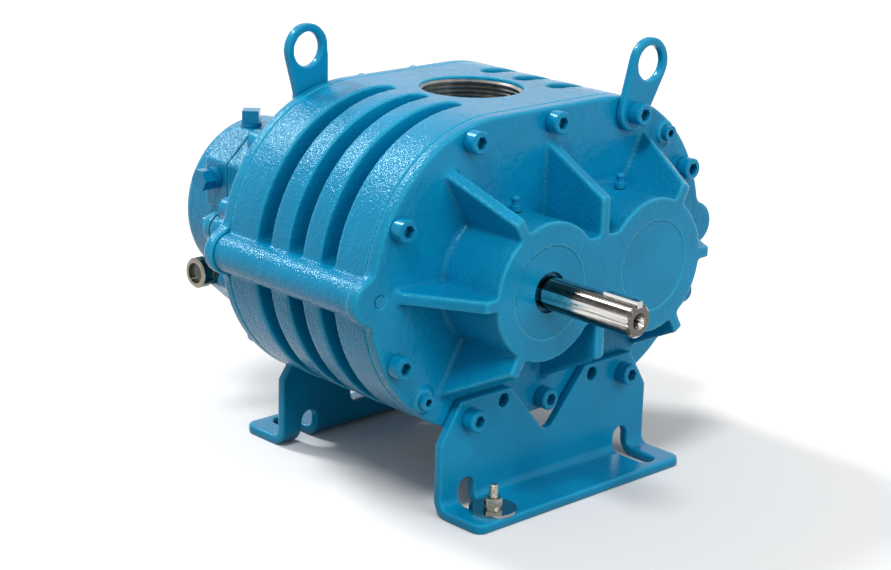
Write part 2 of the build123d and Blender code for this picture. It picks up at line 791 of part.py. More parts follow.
def foot_slots(end):
    # each slot is cut down through the flange and in through the upright, so it runs round the bend
    with BuildSketch(Plane.XY) as flat_slots:
        for x in (-slot_x, slot_x):
            with Locations((x, casing_y + end * (rim_reach + slot_reach - slot_radius))):
                Circle(slot_radius)
            with Locations((x, casing_y + end * (rim_reach + (slot_reach - slot_radius) / 2))):
                Rectangle(2 * slot_radius, slot_reach - slot_radius)
    extrude(flat_slots.sketch, amount=foot_bend + foot_thickness, mode=Mode.SUBTRACT)
    upright = Plane(origin=(0, casing_y + end * (rim_reach + foot_thickness), 0), x_dir=(-end, 0, 0), z_dir=(0, end, 0))
    with BuildSketch(upright) as upright_slots:
        for x in (-slot_x, slot_x):
            with Locations((x, slot_rise - slot_radius)):
                Circle(slot_radius)
            with Locations((x, (slot_rise - slot_radius) / 2)):
                Rectangle(2 * slot_radius, slot_rise - slot_radius)
    extrude(upright_slots.sketch, amount=-foot_thickness, mode=Mode.SUBTRACT)


for label, end in (("drive_foot", drive), ("gear_foot", gear)):
    with BuildPart() as foot:
        foot_blank(end)
        foot_notches(end)
        foot_slots(end)
        fillet(foot.edges().filter_by(Axis.Z).group_by(Axis.Y)[0 if end == drive else -1], 8)
        face = end_plane(end, rim_reach + foot_thickness)
        drill(face, foot_screws[end], screw_radius + hole_clearance, foot_thickness)
        if end == drive:
            drill(face, [(-43.8, 71.7 - shaft_height), (43.8, 71.7 - shaft_height)], 4.8, foot_thickness)
    finish(foot, label)

# ---- one anchor stud a foot, set in diagonally opposite slots ----
stud_radius = 3.175
stud_rise = 10.0
stud_places = [(end * stud_x, casing_y + end * (rim_reach + stud_offset)) for end in (drive, gear)]
washer_stack = [("anchor_washers", 16.3, 2.0), ("anchor_lock_washers", 5.4, 1.6)]
nut_half_flats = 5.56
anchor_nut_height = 5.6

level = foot_thickness
for label, radius, height in washer_stack:
    with BuildPart() as washers:
        with BuildSketch(Plane.XY.offset(level)) as rings:
            with Locations(*stud_places):
                Circle(radius)
                Circle(stud_radius, mode=Mode.SUBTRACT)
        extrude(rings.sketch, amount=height)
    finish(washers, label)
    level += height

with BuildPart() as anchor_nuts:
    with BuildSketch(Plane.XY.offset(level)) as hexagons:
        with Locations(*stud_places):
            RegularPolygon(nut_half_flats, 6, major_radius=False)
            Circle(stud_radius, mode=Mode.SUBTRACT)
    extrude(hexagons.sketch, amount=anchor_nut_height)
finish(anchor_nuts, "anchor_nuts")
level += anchor_nut_height

with BuildPart() as anchor_studs:
    with BuildSketch(Plane.XY) as stud_rounds:
        with Locations(*stud_places):
            Circle(stud_radius)
    extrude(amount=level + stud_rise)
    chamfer(anchor_studs.edges().group_by(Axis.Z)[-1], 0.8)
finish(anchor_studs, "anchor_studs")

# ---- oil fittings on the gear cover ----
west = Plane(origin=(-case_half_width, 0, 0), x_dir=(0, 1, 0), z_dir=(-1, 0, 0))


def west_point(place):
    # a point on the case's -X side, in that side plane's own coordinates
    return west.to_local_coords(Vector(*place))


def plug(plane, spot, shank, depth, collar, collar_height, flats, head, sides=6):
    # a threaded plug: shank in the wall, round collar and a hexagon or square head outside
    for base, radius, height in ((0, shank, -depth), (0, collar, collar_height)):
        with BuildSketch(plane) as rounds:
            with Locations(spot):
                Circle(radius)
        extrude(rounds.sketch, amount=height)
    with BuildSketch(plane.offset(collar_height)) as wrench_flats:
        with Locations(spot):
            RegularPolygon(flats / 2, sides, major_radius=False)
    extrude(wrench_flats.sketch, amount=head)


case_top = Plane.XY.offset(shaft_height + case_half_height)
case_under = Plane(origin=(0, 0, shaft_height - case_half_height), x_dir=(1, 0, 0), z_dir=(0, 0, -1))

with BuildPart() as vent_cap:
    plug(case_top, (vent_place[0], fitting_y), 6, 20, 7.5, 8, 17, 12)
finish(vent_cap, "vent_cap")

with BuildPart() as top_oil_plug:
    plug(case_top, (top_plug_place[0], fitting_y), 6, 20, 7.5, 3, 12, 9, 4)
finish(top_oil_plug, "top_oil_plug")

with BuildPart() as side_oil_plug:
    spot = west_point(side_plug_place)
    plug(west, (spot.X, spot.Y), 6, 16, 8, 6, 14, 9)
finish(side_oil_plug, "side_oil_plug")

with BuildPart() as drain_plug:
    spot = case_under.to_local_coords(Vector(*drain_place))
    plug(case_under, (spot.X, spot.Y), 6, 14, 8, 2, 12, 6)
finish(drain_plug, "drain_plug")

sight_steps = [(8, 8, 3), (11, 11, 8)]
sight_bores = [(19, 7.5, -5), (14, 4.5, -28)]
sight_chamfer = 1.0

with BuildPart() as sight_glass_body:
    spot = west_point(sight_place)
    plug(west, (spot.X, spot.Y), sight_shank, 14, 10, 3, 18, 5)
    for base, radius, height in sight_steps:
        with BuildSketch(west.offset(base)) as collar:
            with Locations((spot.X, spot.Y)):
                Circle(radius)
        extrude(collar.sketch, amount=height)
    chamfer(sight_glass_body.edges().group_by(Axis.X)[0], sight_chamfer)
    for base, radius, depth in sight_bores:
        with BuildSketch(west.offset(base)) as window:
            with Locations((spot.X, spot.Y)):
                Circle(radius)
        extrude(window.sketch, amount=depth, mode=Mode.SUBTRACT)
finish(sight_glass_body, "sight_glass_body")

with BuildPart() as sight_glass_lens:
    with BuildSketch(west.offset(14)) as lens:
        with Locations((spot.X, spot.Y)):
            Circle(7.5)
    extrude(lens.sketch, amount=2.5)
finish(sight_glass_lens, "sight_glass_lens")

with BuildPart() as grease_fittings:
    for x in (-rotor_x, rotor_x):
        section = Plane(origin=(x, grease_y, shaft_height + nose_radius - 5), x_dir=(1, 0, 0), z_dir=(0, -1, 0))
        with BuildSketch(section) as half:
            with BuildLine():
                Polyline(
                    (0, 0), (grease_radius, 0), (grease_radius, 5.2), (4, 5.2), (4, 9), (2.6, 9.6),
                    (2.6, 12), (3.2, 13), (3.2, 14), (1.8, 15.6), (0, 15.6), close=True,
                )
            make_face()
        revolve(half.sketch, axis=Axis((x, grease_y, 0), (0, 0, 1)))
finish(grease_fittings, "grease_fittings")

# ---- blank rating plate on the cover, held by four rivets ----
plate_face = end_plane(gear, cover_reach)
with BuildPart() as rating_plate:
    with BuildSketch(plate_face) as blank:
        with Locations(plate_middle):
            Rectangle(plate_width, plate_height)
            with GridLocations(plate_width - 6, plate_height - 6, 2, 2):
                Circle(rivet_radius, mode=Mode.SUBTRACT)
    extrude(amount=plate_thickness)
finish(rating_plate, "rating_plate")

with BuildPart() as plate_rivets:
    for radius, base, height in ((rivet_radius, -4, 5), (2.6, plate_thickness, rivet_height)):
        with BuildSketch(plate_face.offset(base)) as rivets:
            with Locations(plate_middle):
                with GridLocations(plate_width - 6, plate_height - 6, 2, 2):
                    Circle(radius)
        extrude(rivets.sketch, amount=height)
finish(plate_rivets, "plate_rivets")
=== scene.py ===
from math import cos, pi, radians, sin

import bmesh
import bpy
from mathutils import Matrix, Vector


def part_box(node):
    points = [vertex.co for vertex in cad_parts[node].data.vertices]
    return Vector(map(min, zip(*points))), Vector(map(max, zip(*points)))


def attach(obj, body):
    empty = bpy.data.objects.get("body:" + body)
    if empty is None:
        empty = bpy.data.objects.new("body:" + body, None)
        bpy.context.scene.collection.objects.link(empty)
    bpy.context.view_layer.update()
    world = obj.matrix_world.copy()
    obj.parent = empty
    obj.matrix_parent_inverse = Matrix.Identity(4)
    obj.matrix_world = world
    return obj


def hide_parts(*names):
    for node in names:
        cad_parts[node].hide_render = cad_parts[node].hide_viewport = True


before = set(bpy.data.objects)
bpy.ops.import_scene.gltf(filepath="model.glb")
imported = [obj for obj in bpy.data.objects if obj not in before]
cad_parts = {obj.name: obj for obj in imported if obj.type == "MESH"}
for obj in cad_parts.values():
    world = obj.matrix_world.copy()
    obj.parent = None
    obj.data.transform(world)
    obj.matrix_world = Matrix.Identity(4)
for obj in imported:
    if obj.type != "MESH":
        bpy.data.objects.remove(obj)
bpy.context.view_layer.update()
print("stage: frame loaded")

# where things are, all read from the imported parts
millimetre = 0.001
shaftLow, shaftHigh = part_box("drive_shaft")
drivenLow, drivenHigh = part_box("driven_shaft")
housingLow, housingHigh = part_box("cylinder_housing")
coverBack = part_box("gear_cover")[0].y
driveX = (shaftLow.x + shaftHigh.x) / 2
drivenX = (drivenLow.x + drivenHigh.x) / 2
shaftZ = (shaftLow.z + shaftHigh.z) / 2
casingY = (housingLow.y + housingHigh.y) / 2
housingHalf = (housingHigh.y - housingLow.y) / 2

noiseLow, noiseHigh = 0.3, 0.7  # a noise texture keeps mostly between these


def newFinish(name):
    material = bpy.data.materials.new(name)
    material.use_nodes = True
    tree = material.node_tree
    shader = tree.nodes["Principled BSDF"]
    return material, tree, shader


def noise(tree, scale, detail=3.0, stretch=(1, 1, 1), rough=0.5):
    coords = tree.nodes.new("ShaderNodeTexCoord")
    mapping = tree.nodes.new("ShaderNodeMapping")
    mapping.inputs["Scale"].default_value = stretch
    tree.links.new(coords.outputs["Object"], mapping.inputs["Vector"])
    texture = tree.nodes.new("ShaderNodeTexNoise")
    texture.inputs["Scale"].default_value = scale
    texture.inputs["Detail"].default_value = detail
    texture.inputs["Roughness"].default_value = rough
    tree.links.new(mapping.outputs["Vector"], texture.inputs["Vector"])
    return texture.outputs["Fac"]


def ramp(tree, source, stops):
    made = tree.nodes.new("ShaderNodeValToRGB")
    elements = made.color_ramp.elements
    while len(elements) < len(stops):
        elements.new(0.5)
    for element, (place, colour) in zip(elements, stops):
        element.position = place
        element.color = (*colour, 1)
    tree.links.new(source, made.inputs["Fac"])
    return made.outputs["Color"]


def span(tree, source, low, high, toLow, toHigh):
    made = tree.nodes.new("ShaderNodeMapRange")
    for socket, value in zip(("From Min", "From Max", "To Min", "To Max"), (low, high, toLow, toHigh)):
        made.inputs[socket].default_value = value
    tree.links.new(source, made.inputs["Value"])
    return made.outputs["Result"]


def maths(tree, operation, *values):
    made = tree.nodes.new("ShaderNodeMath")
    made.operation = operation
    for place, value in enumerate(values):
        if isinstance(value, (int, float)):
            made.inputs[place].default_value = value
        else:
            tree.links.new(value, made.inputs[place])
    return made.outputs["Value"]


def mixColours(tree, share, first, second):
    made = tree.nodes.new("ShaderNodeMix")
    made.data_type = "RGBA"
    for socket, value in ((made.inputs[0], share), (made.inputs[6], first), (made.inputs[7], second)):
        if isinstance(value, (int, float)):
            socket.default_value = value
        elif isinstance(value, tuple):
            socket.default_value = (*value, 1)
        else:
            tree.links.new(value, socket)
    return made.outputs[2]


def bump(tree, height, distance, under=None):
    made = tree.nodes.new("ShaderNodeBump")
    made.inputs["Strength"].default_value = 1.0
    made.inputs["Distance"].default_value = distance
    tree.links.new(height, made.inputs["Height"])
    if under is not None:
        tree.links.new(under, made.inputs["Normal"])
    return made.outputs["Normal"]


def axisParts(tree, source):
    coords = tree.nodes.new("ShaderNodeTexCoord")
    parts = tree.nodes.new("ShaderNodeSeparateXYZ")
    tree.links.new(coords.outputs[source], parts.inputs["Vector"])
    return parts.outputs


milledLook = {"from": 0.96, "full": 0.995}  # how square to the shafts a milled face is


def milledFaces(tree):
    # 1 on faces square to the shafts, which were milled before painting, and 0 on cast ones
    across = maths(tree, "ABSOLUTE", axisParts(tree, "Normal")["Y"])
    return span(tree, across, milledLook["from"], milledLook["full"], 0, 1)


chamberLook = {"wall": 77.2 * millimetre, "overrun": 0.3 * millimetre, "roughness": 0.3}


def insideBore(tree):
    # 1 on the walls of the rotor chamber, which are bored and never painted
    parts = axisParts(tree, "Object")
    across = maths(tree, "SUBTRACT", maths(tree, "ABSOLUTE", parts["X"]), drivenX)
    height = maths(tree, "SUBTRACT", parts["Z"], shaftZ)
    squares = maths(tree, "ADD", maths(tree, "MULTIPLY", across, across), maths(tree, "MULTIPLY", height, height))
    along = maths(tree, "ABSOLUTE", maths(tree, "SUBTRACT", parts["Y"], casingY))
    within = maths(tree, "LESS_THAN", along, housingHalf + chamberLook["overrun"])
    return maths(tree, "MULTIPLY", maths(tree, "LESS_THAN", squares, chamberLook["wall"] ** 2), within)


def hollows(tree, look):
    # painted shade: rises to hollowShade in sockets and narrow corners, where ambient occlusion finds them
    made = tree.nodes.new("ShaderNodeAmbientOcclusion")
    made.inputs["Distance"].default_value = look["hollowReach"]
    made.samples = look["hollowSamples"]
    return span(tree, made.outputs["AO"], *look["hollowBand"], look["hollowShade"], 0)


# gloss enamel over iron and steel
def enamel(name, look):
    material, tree, shader = newFinish(name)
    patches = noise(tree, look["patchScale"], 4)
    paint = ramp(tree, patches, list(zip(look["patchBand"], (look["dark"], look["light"]))))
    grain = noise(tree, look["grainScale"], 2.5, rough=0.55)
    speckle = ramp(tree, grain, [(noiseLow, look["dark"]), (noiseHigh, look["light"])])
    paint = mixColours(tree, look["grainShare"], paint, speckle)
    # painted shade: sockets and narrow corners are darkened towards the root colour
    paint = mixColours(tree, hollows(tree, look), paint, look["root"])
    # pointiness lightens rounded edges towards the edge colour, partly as paint worn thin and partly as a painted
    # highlight, and darkens fillet roots as painted shade
    if look["edgeWearAndHighlight"]:
        geometry = tree.nodes.new("ShaderNodeNewGeometry")
        edges = span(tree, geometry.outputs["Pointiness"], *look["edgeBand"], 0, look["edgeWearAndHighlight"])
        paint = mixColours(tree, edges, paint, look["edge"])
        roots = span(tree, geometry.outputs["Pointiness"], *look["rootBand"], look["rootShade"], 0)
        paint = mixColours(tree, roots, paint, look["root"])
    gloss = span(tree, noise(tree, look["glossScale"]), noiseLow, noiseHigh, *look["roughness"])
    if look["bareBore"]:
        bare = insideBore(tree)
        paint = mixColours(tree, bare, paint, look["iron"])
        tree.links.new(bare, shader.inputs["Metallic"])
        gloss = maths(tree, "ADD", gloss, maths(tree, "MULTIPLY", bare, chamberLook["roughness"]))
    tree.links.new(paint, shader.inputs["Base Color"])
    tree.links.new(gloss, shader.inputs["Roughness"])
    shader.inputs["Specular IOR Level"].default_value = look["specular"]
    shader.inputs["Specular Tint"].default_value = look["sheen"]
    wave = bump(tree, noise(tree, look["waveScale"], 2), look["waveDepth"])
    pitted = maths(tree, "MULTIPLY", grain, span(tree, milledFaces(tree), 0, 1, 1, look["milledShare"]))
    tree.links.new(bump(tree, pitted, look["grainDepth"], wave), shader.inputs["Normal"])
    return material


castLook = {
    "dark": (0.0010, 0.200, 0.385),
    "light": (0.0018, 0.272, 0.510),
    # edge is a painted highlight on rounded edges as well as paint worn thin there
    "edge": (0.030, 0.440, 0.640),
    # root is the painted shade laid into corners, sockets and fillet roots
    "root": (0.0008, 0.070, 0.140),
    "patchScale": 16, "patchBand": (0.32, 0.68), "grainScale": 540, "grainShare": 0.30, "glossScale": 120,
    "waveScale": 150, "waveDepth": 0.45 * millimetre, "grainDepth": 0.62 * millimetre, "milledShare": 0.45,
    "roughness": (0.10, 0.20), "specular": 0.28, "sheen": (0.35, 0.82, 0.95, 1),
    "edgeWearAndHighlight": 0.7, "edgeBand": (0.505, 0.56), "rootShade": 0.6, "rootBand": (0.44, 0.495),
    "hollowShade": 0.5, "hollowReach": 14 * millimetre, "hollowBand": (0.15, 0.75), "hollowSamples": 8,
    "bareBore": True, "iron": (0.24, 0.235, 0.22),
}
plateLook = dict(
    castLook, grainScale=820, waveScale=60, waveDepth=0.2 * millimetre, grainDepth=0.16 * millimetre,
    milledShare=0.8, grainShare=0.18, edgeWearAndHighlight=0.35, rootShade=0.4, bareBore=False,
)
# hollowShade and root here paint deep shade into the screw sockets
fittingLook = dict(
    plateLook, grainScale=1100, grainDepth=0.10 * millimetre, edgeWearAndHighlight=0,
    hollowShade=0.95, hollowReach=5 * millimetre, root=(0.002, 0.020, 0.036),
)


# bare metals, streaked along one axis where lineStretch is small
def metal(name, look):
    material, tree, shader = newFinish(name)
    lines = noise(tree, look["lineScale"], 4, look["lineStretch"], 0.6)
    spots = noise(tree, look["spotScale"])
    tone = mixColours(tree, look["spotShare"], ramp(tree, lines, look["tones"]), ramp(tree, spots, look["tones"]))
    if "faceTone" in look:
        tone = mixColours(tree, milledFaces(tree), tone, look["faceTone"])
    tree.links.new(tone, shader.inputs["Base Color"])
    shader.inputs["Metallic"].default_value = look["metallic"]
    shader.inputs["Specular IOR Level"].default_value = 0.5
    tree.links.new(span(tree, spots, noiseLow, noiseHigh, *look["roughness"]), shader.inputs["Roughness"])
    tree.links.new(bump(tree, lines, look["lineDepth"]), shader.inputs["Normal"])
    return material


# painted reflection: the dark and bright streaks along the shaft stand in for reflected surroundings, over fine
# grinding lines
shaftLook = {
    "tones": [(0.40, (0.045, 0.042, 0.038)), (0.54, (0.15, 0.14, 0.13)), (0.63, (0.86, 0.84, 0.80))],
    "lineScale": 300, "lineStretch": (1, 0.008, 1), "spotScale": 180, "spotShare": 0.06,
    "roughness": (0.10, 0.18), "metallic": 1.0, "lineDepth": 0.012 * millimetre, "faceTone": (0.13, 0.125, 0.12),
}
keyLook = dict(shaftLook, tones=[(0.3, (0.50, 0.49, 0.47)), (0.7, (0.80, 0.79, 0.77))], faceTone=(0.5, 0.5, 0.5))
ironLook = {
    "tones": [(0.3, (0.17, 0.165, 0.16)), (0.7, (0.30, 0.295, 0.285))],
    "lineScale": 260, "lineStretch": (1, 0.2, 1), "spotScale": 90, "spotShare": 0.5,
    "roughness": (0.38, 0.55), "metallic": 0.9, "lineDepth": 0.03 * millimetre,
}
gearLook = dict(ironLook, tones=[(0.3, (0.30, 0.295, 0.29)), (0.7, (0.46, 0.455, 0.45))], roughness=(0.24, 0.36))
zincLook = {
    "tones": [(0.3, (0.34, 0.335, 0.27)), (0.7, (0.58, 0.565, 0.48))],
    "lineScale": 420, "lineStretch": (1, 1, 1), "spotScale": 150, "spotShare": 0.5,
    "roughness": (0.16, 0.28), "metallic": 1.0, "lineDepth": 0.015 * millimetre,
}
washerLook = dict(
    zincLook, tones=[(0.3, (0.30, 0.31, 0.31)), (0.7, (0.44, 0.45, 0.44))], roughness=(0.05, 0.10),
    lineDepth=0.004 * millimetre,
)
fittingSteelLook = dict(
    zincLook, tones=[(0.3, (0.17, 0.16, 0.125)), (0.7, (0.34, 0.32, 0.26))], roughness=(0.08, 0.18),
)
threadLook = {
    "tones": [(0.3, (0.17, 0.17, 0.165)), (0.55, (0.32, 0.305, 0.28)), (0.75, (0.55, 0.50, 0.44))],
    "lineScale": 170, "lineStretch": (1, 1, 3), "spotScale": 60, "spotShare": 0.5,
    "roughness": (0.26, 0.42), "metallic": 1.0, "lineDepth": 0.03 * millimetre,
}
aluminiumLook = {
    "tones": [(0.3, (0.66, 0.65, 0.61)), (0.7, (0.80, 0.79, 0.75))],
    "lineScale": 320, "lineStretch": (0.05, 1, 1), "spotScale": 40, "spotShare": 0.35,
    "roughness": (0.40, 0.52), "metallic": 0.35, "lineDepth": 0.008 * millimetre,
}


# rubber, gasket fibre and ink
def matte(name, look):
    material, tree, shader = newFinish(name)
    speckle = noise(tree, look["scale"], 4)
    tone = ramp(tree, speckle, [(noiseLow, look["dark"]), (noiseHigh, look["light"])])
    tree.links.new(tone, shader.inputs["Base Color"])
    shader.inputs["Roughness"].default_value = look["roughness"]
    tree.links.new(bump(tree, speckle, look["depth"]), shader.inputs["Normal"])
    return material


rubberLook = {
    "dark": (0.010, 0.010, 0.010), "light": (0.024, 0.023, 0.022),
    "scale": 240, "roughness": 0.55, "depth": 0.04 * millimetre,
}
gasketLook = {
    "dark": (0.002, 0.010, 0.016), "light": (0.006, 0.020, 0.030),
    "scale": 380, "roughness": 0.8, "depth": 0.05 * millimetre,
}
inkLook = {
    "dark": (0.34, 0.34, 0.32), "light": (0.42, 0.41, 0.39),
    "scale": 300, "roughness": 0.5, "depth": 0.01 * millimetre,
}


def glass(name, look):
    material, tree, shader = newFinish(name)
    haze = noise(tree, look["scale"])
    tone = ramp(tree, haze, [(noiseLow, look["dark"]), (noiseHigh, look["light"])])
    tree.links.new(tone, shader.inputs["Base Color"])
    tree.links.new(span(tree, haze, noiseLow, noiseHigh, *look["roughness"]), shader.inputs["Roughness"])
    shader.inputs["IOR"].default_value = look["ior"]
    return material


lensLook = {
    "dark": (0.012, 0.018, 0.016), "light": (0.035, 0.045, 0.036),
    "scale": 90, "roughness": (0.03, 0.08), "ior": 1.5,
}

castEnamel = enamel("cast_enamel", castLook)
plateEnamel = enamel("plate_enamel", plateLook)
fittingEnamel = enamel("fitting_enamel", fittingLook)
groundSteel = metal("ground_steel", shaftLook)
keySteel = metal("key_steel", keyLook)
rotorIron = metal("rotor_iron", ironLook)
gearSteel = metal("gear_steel", gearLook)
brightZinc = metal("bright_zinc", zincLook)
polishedWasher = metal("polished_washer", washerLook)
fittingSteel = metal("fitting_steel", fittingSteelLook)
threadSteel = metal("port_thread_steel", threadLook)
plateAluminium = metal("plate_aluminium", aluminiumLook)
sealRubber = matte("seal_rubber", rubberLook)
gasketFibre = matte("gasket_fibre", gasketLook)
fieldInk = matte("field_ink", inkLook)
sightGlass = glass("sight_glass", lensLook)
print("stage: finishes made")


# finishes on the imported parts
def dress(material, *nodeNames):
    for nodeName in nodeNames:
        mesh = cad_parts[nodeName].data
        mesh.materials.clear()
        mesh.materials.append(material)


dress(castEnamel, "cylinder_housing", "drive_end_plate", "gear_end_plate", "gear_cover")
dress(plateEnamel, "drive_foot", "gear_foot", "drive_end_lug", "gear_end_lug")
dress(fittingEnamel, "drive_plate_screws", "gear_plate_screws", "lug_screws", "foot_screws", "cover_screws")
dress(fittingEnamel, "jack_screws", "dowel_pins", "side_oil_plug", "top_oil_plug", "drain_plug")
dress(fittingEnamel, "grease_fittings", "drive_seal_carrier", "driven_bore_plug", "drive_shaft_seal")
dress(groundSteel, "drive_shaft", "driven_shaft")
dress(keySteel, "drive_key", "drive_gear_key", "driven_gear_key")
dress(rotorIron, "drive_rotor", "driven_rotor")
dress(gearSteel, "drive_gear", "driven_gear", "drive_gear_nut", "driven_gear_nut", "bearing_rollers")
dress(gearSteel, "drive_gear_washer", "driven_gear_washer", "drive_gear_spacer", "driven_gear_spacer")
dress(gearSteel, "bearing_outer_rings", "drive_shaft_inner_rings", "driven_shaft_inner_rings", "bearing_circlips")
dress(brightZinc, "vent_cap", "anchor_studs", "anchor_nuts", "anchor_lock_washers", "plate_rivets")
dress(fittingSteel, "sight_glass_body")
dress(polishedWasher, "anchor_washers")
dress(plateAluminium, "rating_plate")
dress(sealRubber, "chamber_seals")
dress(gasketFibre, "case_gasket")
dress(sightGlass, "sight_glass_lens")


def addPiece(name, mesh):
    piece = bpy.data.objects.new(name, mesh)
    bpy.context.scene.collection.objects.link(piece)
    return piece


def mountOnCasing(piece, material):
    piece.data.materials.clear()
    piece.data.materials.append(material)
    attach(piece, "casing")


def settled(piece):
    # works the piece's modifiers into its mesh
    bpy.context.view_layer.update()
    mesh = bpy.data.meshes.new_from_object(piece.evaluated_get(bpy.context.evaluated_depsgraph_get()))
    old = piece.data
    piece.modifiers.clear()
    piece.data = mesh
    bpy.data.meshes.remove(old)


def mergedCopy(nodeName, pieceName):
    mesh = bpy.data.meshes.new(pieceName)
    form = bmesh.new()
    form.from_mesh(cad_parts[nodeName].data)
    bmesh.ops.remove_doubles(form, verts=form.verts, dist=0.002 * millimetre)
    form.to_mesh(mesh)
    form.free()
    for attribute in [a for a in mesh.attributes if a.name == "custom_normal"]:
        mesh.attributes.remove(attribute)
    return addPiece(pieceName, mesh)


# castings and bent plate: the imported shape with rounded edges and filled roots
def softSkin(nodeName, pieceName, material, look, firm=None):
    piece = mergedCopy(nodeName, pieceName)
    skin = piece.modifiers.new("skin", "REMESH")
    skin.mode = "VOXEL"
    skin.voxel_size = look["voxel"] * 1 * millimetre
    skin.use_smooth_shade = True
    settled(piece)
    form = bmesh.new()
    form.from_mesh(piece.data)
    loose = [corner for corner in form.verts if not (firm and firm(corner.co))]
    for corners, passes in ((form.verts, look["firmPasses"]), (loose, look["softPasses"])):
        for step in range(passes):
            bmesh.ops.smooth_vert(
                form, verts=corners, factor=look["easing"], use_axis_x=True, use_axis_y=True, use_axis_z=True,
            )
    form.to_mesh(piece.data)
    faces = 2 * len(form.faces)
    form.free()
    if faces > look["mostFaces"]:
        thin = piece.modifiers.new("thin", "DECIMATE")
        thin.ratio = look["mostFaces"] / faces
        settled(piece)
    piece.data.shade_smooth()
    mountOnCasing(piece, material)
    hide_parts(nodeName)
    print(f"stage: {pieceName}, {faces} faces before thinning")


# edges that a cutter left crisp stay crisp: bores, ports and bolted faces
firmLook = {
    "bore": 78.5 * millimetre, "port": 39.5 * millimetre, "closure": 34 * millimetre, "joint": 2.4 * millimetre,
}


def nearShaft(point, radius):
    return min((point.x - x) ** 2 + (point.z - shaftZ) ** 2 for x in (driveX, drivenX)) < radius ** 2


def atJoint(point):
    casingJoint = abs(abs(point.y - casingY) - housingHalf) < firmLook["joint"]
    return casingJoint or abs(point.y - coverBack) < firmLook["joint"]


def housingFirm(point):
    port = point.x ** 2 + (point.y - casingY) ** 2 < firmLook["port"] ** 2
    return port or nearShaft(point, firmLook["bore"]) or atJoint(point)


def plateFirm(point):
    return nearShaft(point, firmLook["closure"]) or atJoint(point)


casting = {
    "voxel": 1.2, "quickVoxel": 1.8, "firmPasses": 1, "softPasses": 4, "easing": 0.5, "mostFaces": 190000,
}
thinCasting = dict(casting, voxel=1.1)
bentPlate = dict(casting, voxel=0.9, firmPasses=3, softPasses=1, mostFaces=90000)
softSkin("cylinder_housing", "painted_housing", castEnamel, casting, housingFirm)
softSkin("drive_end_plate", "painted_drive_plate", castEnamel, casting, plateFirm)
softSkin("gear_end_plate", "painted_gear_plate", castEnamel, casting, plateFirm)
softSkin("gear_cover", "painted_gear_cover", castEnamel, thinCasting, atJoint)
softSkin("drive_foot", "painted_drive_foot", plateEnamel, bentPlate)
softSkin("gear_foot", "painted_gear_foot", plateEnamel, bentPlate)
softSkin("drive_end_lug", "painted_drive_lug", plateEnamel, bentPlate)
softSkin("gear_end_lug", "painted_gear_lug", plateEnamel, bentPlate)


# threads: one ridge swept up a helix, which begins and ends on the side of the axis that side names
def addRidge(form, look, start):
    half = look["pitch"] * look["width"] / 2
    corners = [
        (look["root"], -half), (look["crest"], -half * look["flat"]),
        (look["crest"], half * look["flat"]), (look["root"], half),
    ]
    ring = [form.verts.new(start + Vector((look["side"] * radius, 0, height))) for radius, height in corners]
    first = form.faces.new(ring)
    bmesh.ops.spin(
        form, geom=[first, *first.edges, *first.verts], cent=start, axis=(0, 0, 1),
        dvec=(0, 0, look["pitch"] / look["stepsPerTurn"]), angle=2 * pi * look["turns"],
        steps=look["turns"] * look["stepsPerTurn"],
    )


def sortFaces(form):
    # spin lists its faces in no fixed order, so they get one that is the same each run
    form.verts.index_update()
    count = len(form.verts)

    def place(face):
        corners = [corner.index for corner in face.verts]
        return max(corners) * count + min(corners)

    form.faces.sort(key=place)


def addThread(name, look, starts, material):
    mesh = bpy.data.meshes.new(name)
    form = bmesh.new()
    for start in starts:
        addRidge(form, look, start)
    sortFaces(form)
    if "coreBelow" in look:
        length = look["pitch"] * look["turns"] + look["coreBelow"] + look["coreAbove"]
        radius = look["root"] * look["coreShare"]
        for start in starts:
            middle = start + Vector((0, 0, length / 2 - look["coreBelow"]))
            bmesh.ops.create_cone(
                form, cap_ends=True, segments=look["stepsPerTurn"], radius1=radius, radius2=radius,
                depth=length, matrix=Matrix.Translation(middle),
            )
    bmesh.ops.recalc_face_normals(form, faces=form.faces)
    form.to_mesh(mesh)
    form.free()
    mesh.shade_flat()
    piece = addPiece(name, mesh)
    mountOnCasing(piece, material)
    return piece


portThread = {
    "pitch": 3.175 * millimetre, "width": 0.96, "flat": 0.14, "turns": 7, "stepsPerTurn": 96,
    "root": 36.6 * millimetre, "crest": 34.5 * millimetre, "side": -1, "lip": 2.6 * millimetre,
}
threadRun = portThread["pitch"] * portThread["turns"]
topStart = Vector((0, casingY, housingHigh.z - portThread["lip"] - threadRun))
bottomStart = Vector((0, casingY, housingLow.z + portThread["lip"]))
addThread("top_port_thread", portThread, [topStart], threadSteel)
addThread("bottom_port_thread", portThread, [bottomStart], threadSteel)

studThread = {
    "pitch": 1.27 * millimetre, "width": 0.9, "flat": 0.15, "turns": 19, "stepsPerTurn": 32,
    "root": 2.62 * millimetre, "crest": 3.17 * millimetre, "side": 1, "foot": 0.8 * millimetre,
    "coreBelow": 0.6 * millimetre, "coreAbove": 0.7 * millimetre, "coreShare": 1.01,
}
studLow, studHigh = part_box("anchor_studs")
studInset = Vector((1, 1, 0)) * studThread["crest"]
studPlaces = [(studLow + studInset).to_2d(), (studHigh - studInset).to_2d()]
studStarts = [Vector((*place, studLow.z + studThread["foot"])) for place in studPlaces]
studs = addThread("threaded_studs", studThread, studStarts, brightZinc)
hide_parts("anchor_studs")
print("stage: threads cut")

# blank data fields printed on the rating plate, as places and sizes in millimetres from its middle
fieldLook = {
    "proud": 0.05 * millimetre,
    "columns": [(-36, 18), (-14, 18), (10, 20), (35, 18)], "rows": (14, 8), "rowHeight": 3.4,
    "rules": (3.6, -15.4), "ruleSize": (92, 0.5),
    "panels": (-34.5, -11.5, 11.5, 34.5), "panelHeight": -6, "panelSize": (17, 14),
}


